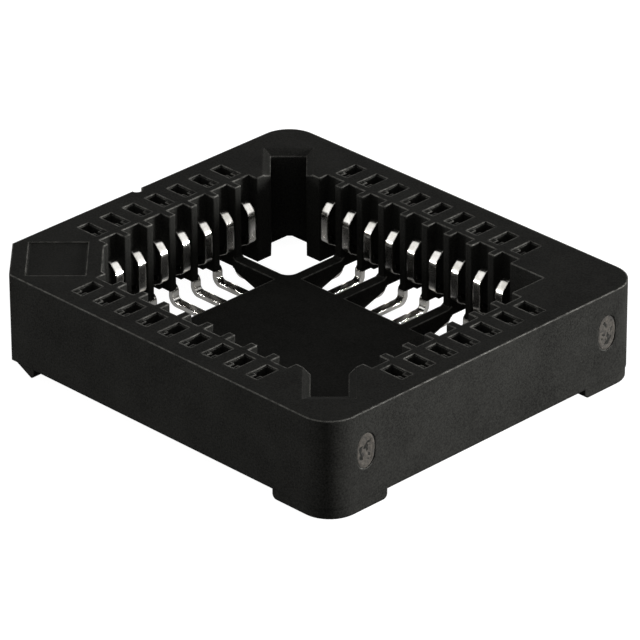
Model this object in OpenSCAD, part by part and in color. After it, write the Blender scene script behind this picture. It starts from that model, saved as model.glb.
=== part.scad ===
// 32-position surface-mount socket for a leaded chip carrier, 1.27 mm pitch.
// Millimetres, +Z up, board at z = 0, centre of the socket on the Z axis.
// Long sides run along X and hold nine contacts each, short sides run along Y and hold seven.
// The orientation corner of the socket is at (-X, -Y).
// Along a wall, u is the distance outward from the rib tips that face the chip.

/* [Show] */

// Sub-part to show, or all of them

/* [Body] */

// Contact pitch
pitch = 1.27; // [1:0.01:2.54]
// Contacts on a long side
long_n = 9; // [5:1:11]
// Contacts on a short side
short_n = 7; // [3:1:9]
// Outside width of the housing, along Y
body_w = 17.94; // [16:0.01:20]
// Height of the top face above the board
top_z = 4.60; // [3.5:0.01:6]
// Height of the underside of the walls above the board
body_z = 0.65; // [0.4:0.01:1.2]
// Radius of the three plain vertical corners
corner_r = 1.35; // [0.5:0.05:2.5]
// Leg of the 45 degree orientation corner
corner_cut = 1.95; // [1:0.01:3]
// Width of the locating groove in the middle of the first short side
mark_w = 0.50; // [0.1:0.01:1]
// Height of the locating groove
mark_h = 0.60; // [0.2:0.05:1.5]
// Width of a moulding gate scar
gate_w = 1.00; // [0.5:0.01:2]
// Height of a moulding gate scar
gate_h = 1.55; // [0.5:0.01:3]
// Depth of a moulding gate scar
gate_d = 0.03; // [0.01:0.01:0.2]
// Distance of the gate scars from the middle of the side
gate_y = 6.93; // [4:0.01:8]
// Height of the middle of the gate scars above the board
gate_z = 2.82; // [1:0.01:4]

/* [Chip well] */

// Thickness of the walls, from the outside to the rib tips
wall = 2.82; // [2:0.01:4]
// Leg of the 45 degree corner inside the well
well_cut = 1.66; // [0.5:0.01:3]
// Width of the extraction notches across the corner diagonal, at the top
notch_w = 2.13; // [1:0.01:3]
// Start of a notch, from the outer corner point along the diagonal
notch_a = 2.41; // [1.5:0.01:4]
// Width of the bevel at the sides of a notch
bevel_side = 0.31; // [0.1:0.01:0.6]
// Width of the bevel at the outer end of a notch
bevel_end = 0.48; // [0.1:0.01:0.8]
// Drop of the bevel of a notch
bevel_d = 0.17; // [0.05:0.01:0.4]
// Length of the shallow recess on the orientation corner, across the diagonal
pad_w = 3.00; // [1:0.01:4]
// Recess start, from the outer corner point along the diagonal
pad_a = 2.06; // [1:0.01:3]
// Recess end, from the outer corner point along the diagonal
pad_b = 4.51; // [3:0.01:5]
// Depth of the shallow recess
pad_d = 0.06; // [0.02:0.01:0.3]

/* [Bays and slots] */

// Width of a contact bay
bay_w = 0.94; // [0.6:0.01:1.1]
// Depth of a bay behind the rib tips
bay_d = 0.50; // [0.3:0.01:0.8]
// Height of the relief under the ribs, above the board
relief_z = 1.08; // [0.8:0.01:1.6]
// Reach of the relief behind the rib tips
relief_d = 1.57; // [1.2:0.01:2]
// Centre of a slot behind the rib tips
slot_u = 1.42; // [1:0.01:2]
// Length of the slots of the top face
slot_l = 1.10; // [0.8:0.01:1.6]
// Width of the slots of the top face
slot_w = 0.56; // [0.4:0.01:0.8]
// Length of the narrow end of a slot
neck_l = 0.34; // [0.1:0.01:0.6]
// Width of the narrow end of a slot
neck_w = 0.20; // [0.1:0.01:0.4]
// Rim of the shallow seat around a slot
rim = 0.03; // [0.01:0.01:0.1]
// Depth of the shallow seat around a slot
rim_d = 0.06; // [0.02:0.01:0.2]
// Height at which the slots end and the press-fit pockets begin
pocket_z = 3.40; // [2:0.05:4]
// Height of the passage from a bay to its pocket
passage_z = 1.82; // [1.5:0.01:2.6]

/* [Floor] */

// Distance from the rib tips to the floor plate
plate_gap = 2.43; // [1:0.01:3]
// Height of the top of the floor plate above the board
plate_top = 1.21; // [0.8:0.01:2]
// Height of the underside of the floor plate above the board
plate_z = 0.30; // [0.2:0.01:0.8]
// Fillet between the two arms nearest a corner
plate_r = 0.50; // [0.1:0.05:1]
// Width of a floor arm
arm_w = 0.515; // [0.3:0.005:0.8]
// Height of the underside of the ribs that carry an arm
arm_rib_z = 0.83; // [0.5:0.01:1]
// Height of the underside of an arm at the ribs
arm_z = 0.70; // [0.4:0.01:1]
// Rise of the top of an arm against its rib
arm_rise = 0.11; // [0:0.01:0.3]
// Slope of the underside of an arm, in degrees
arm_slope = 18; // [1:1:30]
// Half pitches from the centre to the inner arms of a long side
long_arm_1 = 3; // [1:2:7]
// Half pitches from the centre to the outer arms of a long side
long_arm_2 = 7; // [3:2:9]
// Half pitches from the centre to the arms of a short side
short_arm = 5; // [1:2:5]

/* [Feet] */

// Height of the undersides of the corner feet above the board
foot_z = 0.20; // [0.05:0.01:0.5]
// Length of a foot along each wall, from the corner point
foot_l = 3.25; // [1:0.01:5]
// Width of a foot
foot_w = 1.30; // [0.6:0.01:2]
// Inset of a foot from the outside of the walls
foot_in = 0.04; // [0:0.01:0.3]
// Radius at the lower ends of a foot
foot_r = 0.22; // [0.05:0.01:0.4]
// Set-back of the foot under the orientation corner, at its upper edge
foot_cut = 0.18; // [0:0.01:1]
// Slope of the foot under the orientation corner, in degrees from vertical
foot_slope = 55; // [0:1:70]

/* [Contacts] */

// Thickness of the strip
strip_t = 0.22; // [0.1:0.01:0.3]
// Width of the spring and of the tail
strip_w = 0.38; // [0.2:0.01:0.6]
// Reach of the spring in front of the rib tips
spring_u = 0.20; // [0:0.01:0.5]
// Rise of the spring root toward the chip, in degrees
root_deg = 27; // [0:1:45]
// Height at which the root bend meets the upright of the spring
root_z = 1.99; // [1.5:0.01:2.5]
// Radius of the root bend, at its centre
root_r = 0.23; // [0.12:0.01:0.6]
// Height at which the spring starts to lean back
lean_z = 2.95; // [2:0.01:3.5]
// Lean of the tip, in degrees from vertical
lean_deg = 45; // [10:1:70]
// Radius of the lean bend, at its centre
lean_r = 0.39; // [0.15:0.01:0.8]
// Straight length of the tip
lip_l = 0.24; // [0.1:0.01:0.6]
// Radius of the curl at the free end, at its centre
curl_r = 0.24; // [0.12:0.01:0.5]
// Straight end of the curl
curl_l = 0.03; // [0.01:0.01:0.2]
// Width of the post
post_w = 0.48; // [0.3:0.01:0.7]
// Height of the top of the post above the board
post_top = 4.34; // [3:0.01:4.5]
// Chamfer of the top of the post
post_c = 0.10; // [0.02:0.01:0.2]
// Height of the lower barbs above the board
barb_z = 2.00; // [1.5:0.05:3]
// Height of the upper barbs above the board
barb_z2 = 2.80; // [1.5:0.05:3.5]
// Length of a barb
barb_l = 0.35; // [0.1:0.01:0.6]
// Height of the shelf that joins the post to the tail, at its centre
shelf_z = 0.77; // [0.6:0.01:1]
// Radius of the bend from the shelf down, at its centre
shelf_r = 0.20; // [0.12:0.01:0.4]
// Centre of the tail upright behind the rib tips
upright_u = 0.65; // [0.3:0.01:1]
// Radius of the lower bend of the tail, at its centre
tail_r = 0.31; // [0.12:0.01:0.4]
// Reach of the solder tail in front of the rib tips
tail_in = 1.35; // [0.5:0.01:2.3]

/* [Hidden] */

$fn = 64;
eps = 0.01;
far = 40;
corner_deg = 45;

half_w = body_w / 2;
half_l = half_w + (long_n - short_n) * pitch / 2;
well_x = half_l - wall;
well_y = half_w - wall;
plate_x = well_x - plate_gap;
plate_y = well_y - plate_gap;
arm_x = long_arm_2 * pitch / 2;
arm_y = short_arm * pitch / 2;
rib_w = pitch - bay_w;
diag = sqrt(2);
notch_b = wall * diag + 1;
pocket_u = slot_u + strip_t / 2;
slot_a = slot_u - slot_l / 2;
slot_b = slot_u + slot_l / 2;
root_len = (slot_u + spring_u) / cos(root_deg);
black = [0.11, 0.11, 0.11];
tin = [0.80, 0.80, 0.78];

// ---------------------------------------------------------------- placing

// The four walls: 0 at -X, 1 at -Y, 2 at +X, 3 at +Y
function count(side) = side % 2 == 0 ? short_n : long_n;
function row_half(side) = (count(side) - 1) * pitch / 2 + bay_w / 2;
function along(i, n) = (i - (n - 1) / 2) * pitch;
function arm_places(side) = side % 2 == 0 ? [-short_arm, short_arm]
                                          : [-long_arm_2, -long_arm_1, long_arm_1, long_arm_2];

// Children are drawn with +X outward from the rib tips, +Y along the wall and +Z up
module on_wall(side) {
  if (side == 0) translate([-well_x, 0, 0]) rotate([0, 0, 180]) children();
  if (side == 1) translate([0, -well_y, 0]) rotate([0, 0, -90]) children();
  if (side == 2) translate([well_x, 0, 0]) children();
  if (side == 3) translate([0, well_y, 0]) rotate([0, 0, 90]) children();
}

// Children are drawn from the outer corner point, with +X inward along the diagonal
module on_corner(sx, sy) {
  translate([sx * half_l, sy * half_w, 0])
    rotate([0, 0, sx < 0 ? (sy < 0 ? 45 : -45) : (sy < 0 ? 135 : -135)]) children();
}

// A block given by its lower and its upper corner
module block(a, b) {
  translate(a) cube(b - a);
}

// ---------------------------------------------------------------- housing

// What a round corner of radius r takes away, the corner point being at the origin
module corner_waste(r) {
  difference() {
    translate([-r, -r]) square(r + 1);
    translate([-r, -r]) circle(r);
  }
}

// Plan of the outside: three round corners and the 45 degree orientation corner
module outer_plan() {
  difference() {
    square([2 * half_l, 2 * half_w], center = true);
    translate([half_l, half_w]) corner_waste(corner_r);
    translate([-half_l, half_w]) mirror([1, 0]) corner_waste(corner_r);
    translate([half_l, -half_w]) mirror([0, 1]) corner_waste(corner_r);
    translate([-half_l, -half_w]) rotate(corner_deg)
      translate([-1, -corner_cut]) square([1 + corner_cut / diag, 2 * corner_cut]);
  }
}

// Plan of the chip well at the rib tips
module well_plan() {
  difference() {
    square([2 * well_x, 2 * well_y], center = true);
    translate([-well_x, -well_y]) rotate(corner_deg)
      translate([-1, -2 * well_cut]) square([1 + well_cut / diag, 4 * well_cut]);
  }
}

// One bay, open to the well, to the top and downward, with the passage to its pocket
module bay() {
  block([-1, -bay_w / 2, 0], [bay_d, bay_w / 2, top_z + 1]);
  block([0, -slot_w / 2, 0], [pocket_u, slot_w / 2, passage_z]);
}

// One slot with its press-fit pocket below. The neck points outward when out is 1.
module slot(out) {
  wide_l = slot_l - neck_l;
  block([slot_a, -slot_w / 2, 0], [pocket_u, slot_w / 2, pocket_z + eps]);
  translate([slot_u, 0, 0]) rotate([0, 0, out > 0 ? 0 : 180]) {
    block([-slot_l / 2, -slot_w / 2, pocket_z], [wide_l - slot_l / 2, slot_w / 2, top_z + 1]);
    block([0, -neck_w / 2, pocket_z], [slot_l / 2, neck_w / 2, top_z + 1]);
  }
  block([slot_a - rim, -slot_w / 2 - rim, top_z - rim_d], [slot_b + rim, slot_w / 2 + rim, top_z + 1]);
}

// Everything cut from one wall. The necks point to +X on the short sides, to -Y on the long ones.
module wall_cuts(side) {
  n = count(side);
  out = side == 1 || side == 2 ? 1 : 0;
  on_wall(side) {
    for (i = [0 : n - 1]) translate([0, along(i, n), 0]) {
      bay();
      slot(out);
    }
    block([-1, -row_half(side), 0], [relief_d, row_half(side), relief_z]);
  }
}

// Notch of the extraction tool in one corner, with a bevel round its mouth
module notch(sx, sy) {
  deep_w = notch_w - 2 * bevel_side;
  deep_a = notch_a + bevel_end;
  mouth_z = top_z - bevel_d;
  on_corner(sx, sy) {
    block([deep_a, -deep_w / 2, 0], [notch_b, deep_w / 2, top_z + 1]);
    intersection() {
      rotate([90, 0, 0]) translate([0, 0, -notch_w]) linear_extrude(2 * notch_w)
        polygon([[deep_a, mouth_z], [notch_a, top_z], [notch_a, top_z + 1],
                 [notch_b, top_z + 1], [notch_b, mouth_z]]);
      rotate([90, 0, 90]) linear_extrude(notch_b)
        polygon([[-deep_w / 2, mouth_z], [-notch_w / 2, top_z], [-notch_w / 2, top_z + 1],
                 [notch_w / 2, top_z + 1], [notch_w / 2, top_z], [deep_w / 2, mouth_z]]);
    }
  }
}

// Scar of a moulding gate on the outside of the +X wall, round at both ends
module gate(y) {
  r = gate_w / 2;
  s = gate_h / 2 - r;
  translate([half_l - gate_d, y, gate_z]) rotate([90, 0, 90]) linear_extrude(1) {
    translate([0, s]) circle(r);
    translate([0, -s]) circle(r);
    square([gate_w, 2 * s], center = true);
  }
}

// Plan of the floor plate, with the fillets in the four inner corners between the arms
module plate_plan() {
  square([2 * plate_x, 2 * arm_y], center = true);
  square([2 * arm_x, 2 * plate_y], center = true);
  for (sx = [0, 1], sy = [0, 1]) mirror([sx, 0]) mirror([0, sy]) {
    x = arm_x + arm_w / 2;
    y = arm_y + arm_w / 2;
    difference() {
      translate([x - arm_w / 2, y - arm_w / 2]) square(plate_r + arm_w / 2);
      translate([x + plate_r, y + plate_r]) circle(plate_r);
    }
  }
}

// One floor arm from the plate to its rib, its underside sloping down to the plate
module arm() {
  near = 0.07;
  low_u = near + (arm_z - plate_z) / tan(arm_slope);
  rotate([90, 0, 0]) translate([0, 0, -arm_w / 2]) linear_extrude(arm_w)
    polygon([[-plate_gap - plate_r, plate_top], [-near, plate_top], [arm_rise, plate_top + arm_rise],
             [arm_rise, arm_rib_z], [arm_rise - near, arm_rib_z], [-near, arm_z],
             [-low_u, plate_z], [-plate_gap - plate_r, plate_z]]);
}

// All the arms, with the lower parts of the ribs that carry them
module arms() {
  for (side = [0 : 3]) on_wall(side)
    for (k = arm_places(side)) translate([0, k * pitch / 2, 0]) {
      arm();
      block([0, -rib_w / 2, arm_rib_z], [relief_d + eps, rib_w / 2, relief_z + eps]);
    }
}

// Side view of one leg of a foot, from the corner point toward -X
module foot_side() {
  translate([-foot_l + foot_r, 0]) square([foot_l - foot_r - foot_in, body_z - foot_z + eps]);
  translate([-foot_l, foot_r]) square([foot_l - foot_in, body_z - foot_z + eps - foot_r]);
  translate([-foot_l + foot_r, foot_r]) circle(foot_r);
}

// One leg of a foot, along X, in the frame of the (+X, +Y) corner point
module foot_leg() {
  translate([0, -foot_in, foot_z]) rotate([90, 0, 0]) linear_extrude(foot_w) foot_side();
}

// One plain foot, in the frame of the (+X, +Y) corner point
module foot() {
  difference() {
    union() {
      foot_leg();
      mirror([1, -1, 0]) foot_leg();
    }
    translate([-foot_in, -foot_in, 0]) linear_extrude(top_z) corner_waste(corner_r - foot_in);
  }
}

// The foot under the orientation corner, cut back by a slope
module cut_foot() {
  difference() {
    union() {
      foot_leg();
      mirror([1, -1, 0]) foot_leg();
    }
    rotate([0, 0, 225]) translate([corner_cut / diag + foot_cut, -far / 2, body_z])
      rotate([0, -foot_slope, 0]) mirror([1, 0, 0]) translate([0, 0, -far / 2]) cube(far);
  }
}

module feet() {
  translate([half_l, half_w, 0]) foot();
  translate([-half_l, half_w, 0]) mirror([1, 0, 0]) foot();
  translate([half_l, -half_w, 0]) mirror([0, 1, 0]) foot();
  translate([-half_l, -half_w, 0]) mirror([1, 0, 0]) mirror([0, 1, 0]) cut_foot();
}

module housing() {
  color(black) union() {
    difference() {
      translate([0, 0, body_z]) linear_extrude(top_z - body_z) difference() {
        outer_plan();
        well_plan();
      }
      for (side = [0 : 3]) wall_cuts(side);
      notch(-1, 1);
      notch(1, -1);
      on_corner(-1, -1) block([pad_a, -pad_w / 2, top_z - pad_d], [pad_b, pad_w / 2, top_z + 1]);
      translate([-half_l, 0, top_z - mark_h]) cylinder(h = mark_h + 1, d = mark_w);
      gate(gate_y);
      gate(-gate_y);
    }
    translate([0, 0, plate_z]) linear_extrude(plate_top - plate_z) plate_plan();
    arms();
    feet();
  }
}

// ---------------------------------------------------------------- contacts

// Strips are drawn in side view by runs and bends of their centre line.
// p is where a piece starts and deg is its heading there.
function run_end(p, deg, l) = p + l * [cos(deg), sin(deg)];
function bend_mid(p, deg, r, a) = p + sign(a) * r * [-sin(deg), cos(deg)];
function bend_end(p, deg, r, a) = bend_mid(p, deg, r, a) + sign(a) * r * [sin(deg + a), -cos(deg + a)];

module run(p, deg, l) {
  translate(p) rotate(deg) translate([0, -strip_t / 2]) square([l, strip_t]);
}

// A bend by a degrees, to the left when a is positive, never more than 90
module bend(p, deg, r, a) {
  big = 2 * (r + strip_t);
  from = deg - sign(a) * 90;
  translate(bend_mid(p, deg, r, a)) intersection() {
    difference() {
      circle(r + strip_t / 2);
      circle(r - strip_t / 2);
    }
    polygon([[0, 0], big * [cos(from), sin(from)],
             big * [cos(from + a / 2), sin(from + a / 2)], big * [cos(from + a), sin(from + a)]]);
  }
}

// Side view of the spring, from the post up to the free end
module spring_side() {
  turn = 90 - root_deg;
  head = 180 - root_deg;
  up = [-spring_u + strip_t / 2, root_z];
  start = up + root_r * [1 - cos(turn), -sin(turn)];
  reach = (slot_u - start[0]) / cos(root_deg);
  foot_p = start + reach * [cos(root_deg), -sin(root_deg)];
  top = [up[0], lean_z];
  lip = bend_end(top, 90, lean_r, -lean_deg);
  curl = run_end(lip, 90 - lean_deg, lip_l);
  tip = bend_end(curl, 90 - lean_deg, curl_r, lean_deg - 90);
  run(foot_p, head, reach);
  bend(start, head, root_r, -turn);
  run(up, 90, lean_z - root_z);
  bend(top, 90, lean_r, -lean_deg);
  run(lip, 90 - lean_deg, lip_l);
  bend(curl, 90 - lean_deg, curl_r, lean_deg - 90);
  run(tip, 0, curl_l);
}

// Side view of the shelf, the upright and the solder tail
module tail_side() {
  bend_p = [upright_u + shelf_r, shelf_z];
  down = bend_end(bend_p, 180, shelf_r, 90);
  low = [upright_u, strip_t / 2 + tail_r];
  flat = bend_end(low, 270, tail_r, -90);
  run([slot_u, shelf_z], 180, slot_u - bend_p[0]);
  bend(bend_p, 180, shelf_r, 90);
  run(down, 270, down[1] - low[1]);
  bend(low, 270, tail_r, -90);
  run(flat, 180, flat[0] + tail_in);
}

// Front view of the post, with its chamfered top and two pairs of barbs
module post_front() {
  w = post_w / 2;
  b = slot_w / 2;
  polygon([[-w, shelf_z - strip_t / 2], [w, shelf_z - strip_t / 2],
           [w, barb_z], [b, barb_z], [b, barb_z + barb_l / 4], [w, barb_z + barb_l],
           [w, barb_z2], [b, barb_z2], [b, barb_z2 + barb_l / 4], [w, barb_z2 + barb_l],
           [w, post_top - post_c], [w - post_c, post_top], [post_c - w, post_top], [-w, post_top - post_c],
           [-w, barb_z2 + barb_l], [-b, barb_z2 + barb_l / 4], [-b, barb_z2], [-w, barb_z2],
           [-w, barb_z + barb_l], [-b, barb_z + barb_l / 4], [-b, barb_z], [-w, barb_z]]);
}

// One contact, in the frame of its wall
module contact() {
  color(tin) union() {
    rotate([90, 0, 0]) translate([0, 0, -strip_w / 2]) linear_extrude(strip_w) {
      spring_side();
      tail_side();
    }
    translate([slot_u - strip_t / 2, 0, 0]) rotate([90, 0, 90]) linear_extrude(strip_t) post_front();
  }
}

// Contact i of the list, counted from 0, side by side round the socket
module contact_at(i) {
  a = short_n;
  b = a + long_n;
  c = b + short_n;
  if (i < a) on_wall(0) translate([0, along(i, short_n), 0]) contact();
  if (i >= a && i < b) on_wall(1) translate([0, along(i - a, long_n), 0]) contact();
  if (i >= b && i < c) on_wall(2) translate([0, along(i - b, short_n), 0]) contact();
  if (i >= c) on_wall(3) translate([0, along(i - c, long_n), 0]) contact();
}

module contact_01() { contact_at(0); }
module contact_02() { contact_at(1); }
module contact_03() { contact_at(2); }
module contact_04() { contact_at(3); }
module contact_05() { contact_at(4); }
module contact_06() { contact_at(5); }
module contact_07() { contact_at(6); }
module contact_08() { contact_at(7); }
module contact_09() { contact_at(8); }
module contact_10() { contact_at(9); }
module contact_11() { contact_at(10); }
module contact_12() { contact_at(11); }
module contact_13() { contact_at(12); }
module contact_14() { contact_at(13); }
module contact_15() { contact_at(14); }
module contact_16() { contact_at(15); }
module contact_17() { contact_at(16); }
module contact_18() { contact_at(17); }
module contact_19() { contact_at(18); }
module contact_20() { contact_at(19); }
module contact_21() { contact_at(20); }
module contact_22() { contact_at(21); }
module contact_23() { contact_at(22); }
module contact_24() { contact_at(23); }
module contact_25() { contact_at(24); }
module contact_26() { contact_at(25); }
module contact_27() { contact_at(26); }
module contact_28() { contact_at(27); }
module contact_29() { contact_at(28); }
module contact_30() { contact_at(29); }
module contact_31() { contact_at(30); }
module contact_32() { contact_at(31); }

housing();
contact_01();
contact_02();
contact_03();
contact_04();
contact_05();
contact_06();
contact_07();
contact_08();
contact_09();
contact_10();
contact_11();
contact_12();
contact_13();
contact_14();
contact_15();
contact_16();
contact_17();
contact_18();
contact_19();
contact_20();
contact_21();
contact_22();
contact_23();
contact_24();
contact_25();
contact_26();
contact_27();
contact_28();
contact_29();
contact_30();
contact_31();
contact_32();
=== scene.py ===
"""Dresses the surface-mount chip carrier socket for its portrait.

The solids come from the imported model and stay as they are.  This script gives the black
moulded frame and the bent spring contacts their finishes, adds the broken stubs that the
moulding gates leave on the frame, and sets a pale floor, soft lamps and a camera round
the part.  Everything is in metres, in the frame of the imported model.
"""
import logging
import math
from dataclasses import dataclass, field
from enum import Enum
from typing import Any, Dict, List, Sequence, Tuple

import bmesh
import bpy
from mathutils import Matrix, Vector, noise


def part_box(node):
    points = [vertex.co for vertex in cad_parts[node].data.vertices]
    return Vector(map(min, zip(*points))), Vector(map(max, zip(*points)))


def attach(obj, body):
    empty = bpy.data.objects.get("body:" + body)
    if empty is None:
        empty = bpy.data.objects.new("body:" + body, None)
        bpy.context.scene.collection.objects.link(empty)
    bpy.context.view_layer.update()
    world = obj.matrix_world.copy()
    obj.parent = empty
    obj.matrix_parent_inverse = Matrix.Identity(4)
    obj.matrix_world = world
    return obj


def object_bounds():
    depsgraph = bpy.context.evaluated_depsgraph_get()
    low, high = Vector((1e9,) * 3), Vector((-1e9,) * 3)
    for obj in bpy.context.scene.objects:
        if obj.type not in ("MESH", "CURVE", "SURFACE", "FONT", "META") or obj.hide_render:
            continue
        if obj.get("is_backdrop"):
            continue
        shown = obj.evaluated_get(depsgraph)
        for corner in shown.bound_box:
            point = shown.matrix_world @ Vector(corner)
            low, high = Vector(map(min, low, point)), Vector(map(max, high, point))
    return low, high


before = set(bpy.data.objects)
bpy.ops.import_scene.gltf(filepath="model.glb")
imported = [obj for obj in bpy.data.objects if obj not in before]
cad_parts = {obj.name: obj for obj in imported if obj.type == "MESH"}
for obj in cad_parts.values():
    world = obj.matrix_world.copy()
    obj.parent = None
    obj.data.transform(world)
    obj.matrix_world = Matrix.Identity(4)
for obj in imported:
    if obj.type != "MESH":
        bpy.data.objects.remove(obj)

LOG = logging.getLogger("socket")

Colour = Tuple[float, float, float, float]
Box = Tuple[Vector, Vector]
Span = Tuple[float, float]

MM = 0.001
WHITE = "ffffff"


# ------------------------------------------------------------------ small helpers

def linear(code: str) -> Colour:
    """Turns an sRGB hex colour into a linear one.

    Args:
        code: six hex digits, such as "1c1b19".

    Returns:
        The linear red, green and blue, and an alpha of one.
    """
    values: List[float] = []
    for start in (0, 2, 4):
        part = int(code[start:start + 2], 16) / 255.0
        values.append(part / 12.92 if part <= 0.04045 else ((part + 0.055) / 1.055) ** 2.4)
    return values[0], values[1], values[2], 1.0


def per_metre(size_mm: float) -> float:
    """Returns the pattern scale that repeats once in size_mm millimetres."""
    return 1.0 / (size_mm * MM)


def toward(azimuth: float, elevation: float) -> Vector:
    """Gives the direction from the part toward a lamp or the camera.

    Args:
        azimuth: degrees round the part, zero being on the side at -Y.
        elevation: degrees above the board.

    Returns:
        The direction, of length one.
    """
    turn, rise = math.radians(azimuth), math.radians(elevation)
    return Vector((math.sin(turn) * math.cos(rise), -math.cos(turn) * math.cos(rise),
                   math.sin(rise)))


def add_node(tree: bpy.types.NodeTree, kind: str, settings: Dict[str, Any],
             inputs: Dict[Any, Any]) -> bpy.types.Node:
    """Adds one node with its settings, values and links.

    Args:
        tree: the node tree that gets the node.
        kind: the node's type name.
        settings: properties of the node itself.
        inputs: a value or an output socket for each input, by name or by place.

    Returns:
        The new node.
    """
    node = tree.nodes.new(kind)
    for name, value in settings.items():
        setattr(node, name, value)
    for name, value in inputs.items():
        if isinstance(value, bpy.types.NodeSocket):
            tree.links.new(value, node.inputs[name])
        else:
            node.inputs[name].default_value = value
    return node


def between(source: Span, target: Span) -> Dict[str, float]:
    """Gives the inputs of a map range node that turns one span into another."""
    return {"From Min": source[0], "From Max": source[1],
            "To Min": target[0], "To Max": target[1]}


def set_ramp(node: bpy.types.Node, span: Span, codes: Sequence[str]) -> None:
    """Sets the two stops of a colour ramp.

    Args:
        node: the colour ramp.
        span: the places of the lower and the upper stop.
        codes: the colour of each stop, as sRGB hex.
    """
    for element, place, code in zip(node.color_ramp.elements, span, codes):
        element.position = place
        element.color = linear(code)


def blank_material(name: str) -> Tuple[bpy.types.Material, bpy.types.NodeTree]:
    """Makes a material with an empty node tree.

    Args:
        name: the material's name.

    Returns:
        The material and its tree.
    """
    material = bpy.data.materials.new(name)
    material.use_nodes = True
    material.node_tree.nodes.clear()
    return material, material.node_tree


def dress(thing: bpy.types.Object, material: bpy.types.Material) -> None:
    """Gives every slot of an object one material."""
    if not thing.data.materials:
        thing.data.materials.append(material)
    for slot in thing.material_slots:
        slot.material = material


# ------------------------------------------------------------------ finishes

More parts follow.
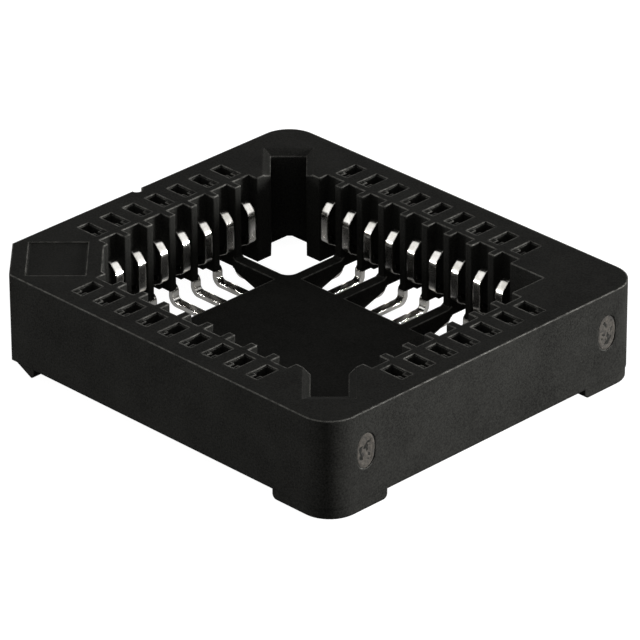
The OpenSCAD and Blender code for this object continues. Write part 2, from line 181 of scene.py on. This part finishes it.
@dataclass(frozen=True)
class GlassFilledPolyester:
    """Black glass-filled polyester, injection moulded in a spark-eroded tool.

    The surface is matt with a fine even grain, and every mould edge has a fine radius.  The
    upper rims get a pale painted highlight in places.
    """

    base_hex: str = "0f0f0e"
    pale_hex: str = "282826"
    # pale colour of the painted highlight on the upper mould edges
    highlight_hex: str = "83827d"
    # typical polyester resin; glass fibres at the surface leave it almost without a sheen
    ior: float = 1.56
    sheen: float = 0.012
    roughness: float = 0.66
    # how far the grain takes the roughness down and up
    roughness_span: Span = (-0.06, 0.08)
    # the grain of the eroded tool is about 0.02 mm; drawn at 0.07 mm, so that it shows
    grain_mm: float = 0.07
    grain_share: float = 0.7
    # flow clouds of the glass fibres
    cloud_mm: float = 2.2
    cloud_share: float = 0.25
    # tones at which the colour is all base and all pale
    tone_span: Span = (0.34, 0.66)
    # length over which the painted edge highlight comes and goes, and how much of it is left at
    # least
    highlight_break_mm: float = 0.45
    highlight_break_span: Span = (0.36, 0.64)
    highlight_least: float = 0.18
    # radius of the mould edges
    edge_mm: float = 0.14
    # likeness of the softened and the flat normal at which the painted edge highlight starts and
    # is full
    edge_span: Span = (0.985, 0.80)
    # reach of the occlusion that keeps inner corners free of the painted edge highlight, and its
    # limits
    corner_mm: float = 0.10
    corner_span: Span = (0.72, 0.92)
    # how far up a softened edge has to face before it gets the painted highlight, and how strong
    # it then is
    upward_span: Span = (0.22, 0.50)
    upward_most: float = 0.9
    relief: float = 0.35
    relief_mm: float = 0.012

    def painted_edge_highlight(self, tree: bpy.types.NodeTree, spot: bpy.types.NodeSocket,
            soft: bpy.types.NodeSocket) -> bpy.types.NodeSocket:
        """Finds the upper rims that get a painted edge highlight.

        Args:
            tree: the material's tree.
            spot: the place on the part.
            soft: the normal with softened edges.

        Returns:
            A value of one where the painted edge highlight is full and zero elsewhere.
        """
        # an edge is where the softened normal leaves the flat one
        flat = add_node(tree, "ShaderNodeNewGeometry", {}, {})
        same = add_node(tree, "ShaderNodeVectorMath", {"operation": "DOT_PRODUCT"},
                        {0: soft, 1: flat.outputs["True Normal"]})
        edge = add_node(tree, "ShaderNodeMapRange", {"interpolation_type": "SMOOTHSTEP"},
                        {"Value": same.outputs["Value"], **between(self.edge_span, (0.0, 1.0))})
        # the painted highlight comes and goes along an edge
        highlight_breaks = add_node(tree, "ShaderNodeTexNoise", {},
                        {"Vector": spot, "Scale": per_metre(self.highlight_break_mm), "Detail": 4.0,
                         "Roughness": 0.75})
        highlight_patches = add_node(tree, "ShaderNodeMapRange", {},
                          {"Value": highlight_breaks.outputs["Fac"],
                           **between(self.highlight_break_span, (self.highlight_least, 1.0))})
        # inner corners are left out by an occlusion mask, so only the proud edges get the
        # painted highlight
        shade = add_node(tree, "ShaderNodeAmbientOcclusion", {"samples": 6, "only_local": True},
                         {"Distance": self.corner_mm * MM})
        proud = add_node(tree, "ShaderNodeMapRange", {},
                         {"Value": shade.outputs["AO"], **between(self.corner_span, (0.0, 1.0))})
        # the painted highlight is strongest on upward-facing edges, which catch the light, so
        # upright edges stay black
        parts = add_node(tree, "ShaderNodeSeparateXYZ", {}, {"Vector": soft})
        upward = add_node(tree, "ShaderNodeMapRange", {},
                          {"Value": parts.outputs["Z"],
                           **between(self.upward_span, (0.0, self.upward_most))})
        mask = edge.outputs["Result"]
        for part in (highlight_patches, proud, upward):
            both = add_node(tree, "ShaderNodeMath", {"operation": "MULTIPLY", "use_clamp": True},
                            {0: mask, 1: part.outputs["Result"]})
            mask = both.outputs["Value"]
        return mask

    def build(self) -> bpy.types.Material:
        """Builds the material.

        Returns:
            The finished material.
        """
        material, tree = blank_material("glass_filled_polyester")
        spot = add_node(tree, "ShaderNodeTexCoord", {}, {}).outputs["Object"]
        # flow clouds: a faint change of tone over a few millimetres
        cloud = add_node(tree, "ShaderNodeTexNoise", {},
                         {"Vector": spot, "Scale": per_metre(self.cloud_mm), "Detail": 4.0,
                          "Roughness": 0.6})
        # mould grain: the fine matt texture
        grain = add_node(tree, "ShaderNodeTexNoise", {},
                         {"Vector": spot, "Scale": per_metre(self.grain_mm), "Detail": 3.0,
                          "Roughness": 0.65})
        rest = 0.5 * (1.0 - self.grain_share - self.cloud_share)
        tone = add_node(tree, "ShaderNodeMath", {"operation": "MULTIPLY_ADD"},
                        {0: grain.outputs["Fac"], 1: self.grain_share, 2: rest})
        tone = add_node(tree, "ShaderNodeMath", {"operation": "MULTIPLY_ADD"},
                        {0: cloud.outputs["Fac"], 1: self.cloud_share, 2: tone.outputs["Value"]})
        body = add_node(tree, "ShaderNodeValToRGB", {}, {"Fac": tone.outputs["Value"]})
        set_ramp(body, self.tone_span, (self.base_hex, self.pale_hex))
        soft = add_node(tree, "ShaderNodeBevel", {"samples": 6}, {"Radius": self.edge_mm * MM})
        mask = self.painted_edge_highlight(tree, spot, soft.outputs["Normal"])
        # the mask mixes a pale painted highlight into the proud upper edges
        colour = add_node(tree, "ShaderNodeMix", {"data_type": "RGBA"},
                          {"Factor": mask, 6: body.outputs["Color"], 7: linear(self.highlight_hex)})
        relief = add_node(tree, "ShaderNodeBump", {},
                          {"Height": grain.outputs["Fac"], "Strength": self.relief,
                           "Distance": self.relief_mm * MM, "Normal": soft.outputs["Normal"]})
        least, most = (self.roughness + step for step in self.roughness_span)
        shine = add_node(tree, "ShaderNodeMapRange", {},
                         {"Value": grain.outputs["Fac"], **between((0.3, 0.7), (least, most))})
        shader = add_node(tree, "ShaderNodeBsdfPrincipled", {},
                          {"Base Color": colour.outputs[2], "Roughness": shine.outputs["Result"],
                           "IOR": self.ior, "Specular IOR Level": self.sheen,
                           "Normal": relief.outputs["Normal"]})
        add_node(tree, "ShaderNodeOutputMaterial", {}, {"Surface": shader.outputs["BSDF"]})
        return material


@dataclass(frozen=True)
class BrokenGate:
    """The same polyester where a gate was broken off: rough, torn, brownish grey with pits."""

    base_hex: str = "201e1b"
    pale_hex: str = "3d3933"
    # dark colour of the painted shade in the pits
    pit_shade_hex: str = "0b0a09"
    ior: float = 1.56
    sheen: float = 0.2
    roughness: float = 0.8
    # torn fibre ends
    tear_mm: float = 0.16
    tear_span: Span = (0.35, 0.68)
    # pits where clumps pulled out, darkened with painted shade
    pit_mm: float = 0.42
    pit_span: Span = (0.52, 0.66)
    pit_most: float = 0.8
    relief: float = 0.8
    relief_mm: float = 0.03

    def build(self) -> bpy.types.Material:
        """Builds the material.

        Returns:
            The finished material.
        """
        material, tree = blank_material("broken_gate_polyester")
        spot = add_node(tree, "ShaderNodeTexCoord", {}, {}).outputs["Object"]
        tear = add_node(tree, "ShaderNodeTexNoise", {},
                        {"Vector": spot, "Scale": per_metre(self.tear_mm), "Detail": 5.0,
                         "Roughness": 0.7})
        pits = add_node(tree, "ShaderNodeTexNoise", {},
                        {"Vector": spot, "Scale": per_metre(self.pit_mm), "Detail": 2.0,
                         "Roughness": 0.5})
        body = add_node(tree, "ShaderNodeValToRGB", {}, {"Fac": tear.outputs["Fac"]})
        set_ramp(body, self.tear_span, (self.base_hex, self.pale_hex))
        pit_shade = add_node(tree, "ShaderNodeMapRange", {},
                        {"Value": pits.outputs["Fac"],
                         **between(self.pit_span, (0.0, self.pit_most))})
        # painted shade darkens the pits; the bump comes from the tears only
        colour = add_node(tree, "ShaderNodeMix", {"data_type": "RGBA"},
                          {"Factor": pit_shade.outputs["Result"], 6: body.outputs["Color"],
                           7: linear(self.pit_shade_hex)})
        relief = add_node(tree, "ShaderNodeBump", {},
                          {"Height": tear.outputs["Fac"], "Strength": self.relief,
                           "Distance": self.relief_mm * MM})
        shader = add_node(tree, "ShaderNodeBsdfPrincipled", {},
                          {"Base Color": colour.outputs[2], "Roughness": self.roughness,
                           "IOR": self.ior, "Specular IOR Level": self.sheen,
                           "Normal": relief.outputs["Normal"]})
        add_node(tree, "ShaderNodeOutputMaterial", {}, {"Surface": shader.outputs["BSDF"]})
        return material


@dataclass(frozen=True)
class TinPlate:
    """Bright tin plate on a copper alloy strip, stamped and bent.

    Tin is a soft white metal: clear broad highlights, faintly streaked along the strip by
    the press tool, with a slight haze that varies from place to place.
    """

    bright_hex: str = "faf8f3"
    haze_hex: str = "dcd9d1"
    roughness: float = 0.14
    # roughness that the haze adds where it is thickest
    haze: float = 0.10
    # haze clouds
    cloud_mm: float = 0.6
    cloud_span: Span = (0.32, 0.62)
    # drawing streaks of the press tool, long along the upright of the strip
    streak_mm: float = 0.05
    streak_squeeze: float = 0.12
    relief: float = 0.10
    relief_mm: float = 0.003
    # rounded stamping edge
    edge_mm: float = 0.08

    def build(self) -> bpy.types.Material:
        """Builds the material.

        Returns:
            The finished material.
        """
        material, tree = blank_material("bright_tin_plate")
        spot = add_node(tree, "ShaderNodeTexCoord", {}, {}).outputs["Object"]
        cloud = add_node(tree, "ShaderNodeTexNoise", {},
                         {"Vector": spot, "Scale": per_metre(self.cloud_mm), "Detail": 3.0,
                          "Roughness": 0.6})
        stretch = add_node(tree, "ShaderNodeMapping", {},
                           {"Vector": spot, "Scale": (1.0, 1.0, self.streak_squeeze)})
        streak = add_node(tree, "ShaderNodeTexNoise", {},
                          {"Vector": stretch.outputs["Vector"],
                           "Scale": per_metre(self.streak_mm), "Detail": 2.0, "Roughness": 0.5})
        colour = add_node(tree, "ShaderNodeValToRGB", {}, {"Fac": cloud.outputs["Fac"]})
        set_ramp(colour, self.cloud_span, (self.haze_hex, self.bright_hex))
        dull = add_node(tree, "ShaderNodeMapRange", {},
                        {"Value": cloud.outputs["Fac"],
                         **between((0.3, 0.7), (self.roughness + self.haze, self.roughness))})
        soft = add_node(tree, "ShaderNodeBevel", {"samples": 4}, {"Radius": self.edge_mm * MM})
        relief = add_node(tree, "ShaderNodeBump", {},
                          {"Height": streak.outputs["Fac"], "Strength": self.relief,
                           "Distance": self.relief_mm * MM, "Normal": soft.outputs["Normal"]})
        shader = add_node(tree, "ShaderNodeBsdfPrincipled", {},
                          {"Base Color": colour.outputs["Color"], "Metallic": 1.0,
                           "Roughness": dull.outputs["Result"],
                           "Normal": relief.outputs["Normal"]})
        add_node(tree, "ShaderNodeOutputMaterial", {}, {"Surface": shader.outputs["BSDF"]})
        return material


# ------------------------------------------------------------------ the part

@dataclass
class Frame:
    """The moulded frame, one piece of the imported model."""

    node: str = "housing"
    finish: GlassFilledPolyester = field(default_factory=GlassFilledPolyester)

    def build(self) -> Box:
        """Dresses the frame.

        Returns:
            The lowest and the highest corner of the frame.
        """
        low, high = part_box(self.node)
        dress(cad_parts[self.node], self.finish.build())
        LOG.info("frame dressed: %.2f x %.2f x %.2f mm",
                 *((b - a) / MM for a, b in zip(low, high)))
        return Vector(low), Vector(high)


@dataclass
class Contacts:
    """The bent spring contacts, which share one tin plate finish."""

    prefix: str = "contact_"
    finish: TinPlate = field(default_factory=TinPlate)

    def build(self) -> None:
        """Dresses every contact."""
        material = self.finish.build()
        names = sorted(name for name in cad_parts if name.startswith(self.prefix))
        for name in names:
            dress(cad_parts[name], material)
        LOG.info("%d contacts dressed", len(names))


@dataclass
class GateScar:
    """One broken gate on the outside of the frame: an oval patch of torn plastic.

    The patch lies in the shallow oval recess of the solid and stands less than a hundredth
    of a millimetre proud of the wall round it.
    """

    name: str
    along_mm: float
    up_mm: float
    seed: float
    wide_mm: float = 0.98
    high_mm: float = 1.53
    # height of the torn surface, and what the coarse and fine tears and the lip add to it
    rough_mm: float = 0.035
    coarse: float = 0.5
    fine: float = 0.35
    lip: float = 0.6
    # tears per millimetre
    coarse_pitch: float = 3.1
    fine_pitch: float = 9.7
    # place and breadth of the lip, as shares of the way from the rim to the middle
    lip_at: float = 0.12
    lip_wide: float = 0.10
    # the surface rises from the rim over one part in this many of the way to the middle
    rise: float = 8.0
    # depth of the recess, and the gap that keeps the patch off its floor
    sink_mm: float = 0.03
    gap_mm: float = 0.004
    rings: int = 14
    spokes: int = 56

    def height(self, y: float, z: float, inward: float) -> float:
        """Gives how far the torn surface stands off the recess.

        Args:
            y: place along the wall, in millimetres from the middle of the patch.
            z: place up the wall, in millimetres from the middle of the patch.
            inward: zero at the rim and one in the middle.

        Returns:
            The height in millimetres.
        """
        coarse = noise.noise(Vector((y * self.coarse_pitch, z * self.coarse_pitch, self.seed)))
        fine = noise.noise(Vector((y * self.fine_pitch, z * self.fine_pitch, self.seed + 5.0)))
        lip = self.lip * math.exp(-((inward - self.lip_at) / self.lip_wide) ** 2)
        torn = self.coarse * coarse + self.fine * fine + lip
        return self.rough_mm * torn * min(1.0, inward * self.rise)

    def build(self, wall: Box, material: bpy.types.Material) -> None:
        """Makes the patch, which rides on the part.

        Args:
            wall: the box of the frame that carries it.
            material: its finish.
        """
        bm = bmesh.new()

        def point(ring: int, spoke: int) -> bmesh.types.BMVert:
            """Adds one point of the oval, ring zero being its rim."""
            turn = 2 * math.pi * spoke / self.spokes
            share = 1.0 - ring / self.rings
            y = self.wide_mm / 2 * math.cos(turn) * share
            z = self.high_mm / 2 * math.sin(turn) * share
            off_mm = self.height(y, z, 1.0 - share) - self.sink_mm + self.gap_mm
            return bm.verts.new((wall[1].x + off_mm * MM, (self.along_mm + y) * MM,
                                 (self.up_mm + z) * MM))

        rows = [[point(r, s) for s in range(self.spokes)] for r in range(self.rings)]
        middle = point(self.rings, 0)
        for s in range(self.spokes):
            t = (s + 1) % self.spokes
            for outer, inner in zip(rows, rows[1:]):
                bm.faces.new((outer[s], outer[t], inner[t], inner[s]))
            bm.faces.new((rows[-1][s], rows[-1][t], middle))
        mesh = bpy.data.meshes.new(self.name)
        bm.to_mesh(mesh)
        bm.free()
        for polygon in mesh.polygons:
            polygon.use_smooth = True
        piece = bpy.data.objects.new(self.name, mesh)
        bpy.context.scene.collection.objects.link(piece)
        dress(piece, material)
        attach(piece, "root")
        LOG.info("%s made", self.name)


class Gate(Enum):
    """The two gates, by the side of the middle of the wall that each is on."""

    NEAR = -1.0
    FAR = 1.0


@dataclass
class GateScars:
    """Both broken gates, on the wall at +X."""

    along_mm: float = 6.93
    up_mm: float = 2.82
    seeds: Tuple[Tuple[Gate, float], ...] = ((Gate.NEAR, 1.7), (Gate.FAR, 4.2))
    finish: BrokenGate = field(default_factory=BrokenGate)

    def build(self, wall: Box) -> None:
        """Makes both patches.

        Args:
            wall: the box of the frame that carries them.
        """
        material = self.finish.build()
        for gate, seed in self.seeds:
            scar = GateScar(f"gate_scar_{gate.name.lower()}", gate.value * self.along_mm,
                            self.up_mm, seed)
            scar.build(wall, material)


# ------------------------------------------------------------------ the studio

@dataclass(frozen=True)
class Lamp:
    """One soft square window, aimed at the middle of the part."""

    name: str
    azimuth: float
    elevation: float
    distance_mm: float
    size_mm: float
    watts: float

    def build(self, target: Vector) -> None:
        """Hangs the lamp.

        Args:
            target: the point it shines at.
        """
        data = bpy.data.lights.new(self.name, "AREA")
        data.shape = "SQUARE"
        data.size = self.size_mm * MM
        data.energy = self.watts
        lamp = bpy.data.objects.new(self.name, data)
        away = toward(self.azimuth, self.elevation)
        lamp.location = target + away * self.distance_mm * MM
        lamp.rotation_euler = away.to_track_quat("Z", "Y").to_euler()
        bpy.context.scene.collection.objects.link(lamp)


@dataclass
class Studio:
    """A white floor and sky, and two low soft windows."""

    floor_mm: float = 4000.0
    # the floor as a lit surface, as the eye sees it, and the white that the eye sees with it
    paper_hex: str = "8c8c8c"
    faint_hex: str = "8f8f8f"
    glow: float = 0.95
    # how much of the white floor a metal face shows; the rest is the lit paper
    mirror_share: float = 0.15
    # the sky as a lamp
    sky: float = 0.48
    # the sky straight up as metal shows it, and the heights between which it falls off
    zenith: float = 0.42
    zenith_span: Span = (0.55, 0.97)
    lamps: Tuple[Lamp, ...] = (
        Lamp("window_right", 131.0, 5.0, 260.0, 70.0, 2.20),
        Lamp("window_left", -44.0, 5.0, 280.0, 70.0, 0.60),
    )

    def floor(self) -> None:
        """Lays the floor, white to the eye, which keeps a faint shadow of the part."""
        half = self.floor_mm / 2 * MM
        mesh = bpy.data.meshes.new("floor")
        corners = [(-half, -half, 0), (half, -half, 0), (half, half, 0), (-half, half, 0)]
        mesh.from_pydata(corners, [], [(0, 1, 2, 3)])
        slab = bpy.data.objects.new("floor", mesh)
        bpy.context.scene.collection.objects.link(slab)
        material, tree = blank_material("white_sweep")
        ray = add_node(tree, "ShaderNodeLightPath", {}, {})
        seen = add_node(tree, "ShaderNodeMath", {"operation": "MAXIMUM"},
                        {0: ray.outputs["Is Camera Ray"], 1: ray.outputs["Is Transmission Ray"]})
        seen = add_node(tree, "ShaderNodeMath", {"operation": "MULTIPLY_ADD", "use_clamp": True},
                        {0: ray.outputs["Is Glossy Ray"], 1: self.mirror_share,
                         2: seen.outputs["Value"]})
        paper = add_node(tree, "ShaderNodeBsdfDiffuse", {}, {"Color": linear(self.paper_hex)})
        faint = add_node(tree, "ShaderNodeBsdfDiffuse", {}, {"Color": linear(self.faint_hex)})
        glow = add_node(tree, "ShaderNodeEmission", {},
                        {"Color": linear(WHITE), "Strength": self.glow})
        both = add_node(tree, "ShaderNodeAddShader", {},
                        {0: faint.outputs["BSDF"], 1: glow.outputs["Emission"]})
        mix = add_node(tree, "ShaderNodeMixShader", {},
                       {"Fac": seen.outputs["Value"], 1: paper.outputs["BSDF"],
                        2: both.outputs["Shader"]})
        add_node(tree, "ShaderNodeOutputMaterial", {}, {"Surface": mix.outputs["Shader"]})
        dress(slab, material)
        slab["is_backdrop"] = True

    def world(self) -> None:
        """Sets the sky: white to the eye, white and falling off in metal, softer as a lamp."""
        world = bpy.data.worlds.new("sky")
        bpy.context.scene.world = world
        world.use_nodes = True
        tree = world.node_tree
        tree.nodes.clear()
        ray = add_node(tree, "ShaderNodeLightPath", {}, {})
        place = add_node(tree, "ShaderNodeTexCoord", {}, {})
        parts = add_node(tree, "ShaderNodeSeparateXYZ", {},
                         {"Vector": place.outputs["Generated"]})
        # metal sees a white sky that falls off towards the zenith
        high = add_node(tree, "ShaderNodeMapRange", {"interpolation_type": "SMOOTHSTEP"},
                        {"Value": parts.outputs["Z"],
                         **between(self.zenith_span, (1.0, self.zenith))})
        mirror = add_node(tree, "ShaderNodeMapRange", {},
                          {"Value": ray.outputs["Is Glossy Ray"], "To Min": self.sky,
                           "To Max": high.outputs["Result"]})
        seen = add_node(tree, "ShaderNodeMath", {"operation": "MAXIMUM"},
                        {0: ray.outputs["Is Camera Ray"], 1: ray.outputs["Is Transmission Ray"]})
        level = add_node(tree, "ShaderNodeMapRange", {},
                         {"Value": seen.outputs["Value"], "To Min": mirror.outputs["Result"],
                          "To Max": 1.0})
        sky = add_node(tree, "ShaderNodeBackground", {},
                       {"Color": linear(WHITE), "Strength": level.outputs["Result"]})
        add_node(tree, "ShaderNodeOutputWorld", {}, {"Surface": sky.outputs["Background"]})

    def build(self, target: Vector) -> None:
        """Sets up floor, sky and lamps.

        Args:
            target: the point the lamps shine at.
        """
        self.floor()
        self.world()
        for lamp in self.lamps:
            lamp.build(target)
        bpy.context.scene.view_settings.view_transform = "Standard"
        LOG.info("studio set up with %d lamps", len(self.lamps))


@dataclass(frozen=True)
class Eye:
    """The camera: a long lens above one corner of the socket."""

    azimuth: float = 45.406
    elevation: float = 27.763
    roll: float = -0.326
    distance_mm: float = 236.951
    aim_mm: Tuple[float, float, float] = (0.0, 0.0, 2.22)
    # how far the camera stands to the right of the line to its aim, and above it
    shift_mm: Span = (0.469, -0.014)
    lens_mm: float = 324.76
    film_mm: float = 36.0
    # nearest and farthest distance it sees, in metres
    reach_m: Span = (0.01, 20.0)

    def build(self) -> None:
        """Makes the camera and hands it to the scene."""
        turn, roll = math.radians(self.azimuth), math.radians(self.roll)
        back = toward(self.azimuth, self.elevation)
        flat_right = Vector((math.cos(turn), math.sin(turn), 0.0))
        flat_up = back.cross(flat_right)
        right = flat_right * math.cos(roll) + flat_up * math.sin(roll)
        up = flat_up * math.cos(roll) - flat_right * math.sin(roll)
        place = (Vector(self.aim_mm) + right * self.shift_mm[0] + up * self.shift_mm[1]
                 + back * self.distance_mm)
        data = bpy.data.cameras.new("eye")
        data.lens = self.lens_mm
        data.sensor_width = self.film_mm
        data.clip_start, data.clip_end = self.reach_m
        camera = bpy.data.objects.new("eye", data)
        axes = Matrix((right, up, back)).transposed().to_4x4()
        camera.matrix_world = Matrix.Translation(place * MM) @ axes
        bpy.context.scene.collection.objects.link(camera)
        bpy.context.scene.camera = camera


# ------------------------------------------------------------------ putting it together

def as_lists(bounds: Any) -> List[List[float]]:
    """Turns a pair of corners into plain lists of numbers."""
    return [[float(v) for v in corner] for corner in bounds]


def main() -> None:
    """Dresses the part and sets the studio round the middle of the undressed part."""
    logging.basicConfig(level=logging.INFO, format="%(name)s: %(message)s")
    before = as_lists(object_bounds())
    Eye().build()
    wall = Frame().build()
    Contacts().build()
    GateScars().build(wall)
    middle = (Vector(before[0]) + Vector(before[1])) / 2
    Studio().build(middle)
    LOG.info("sizes kept")


if __name__ == "__main__":
    main()
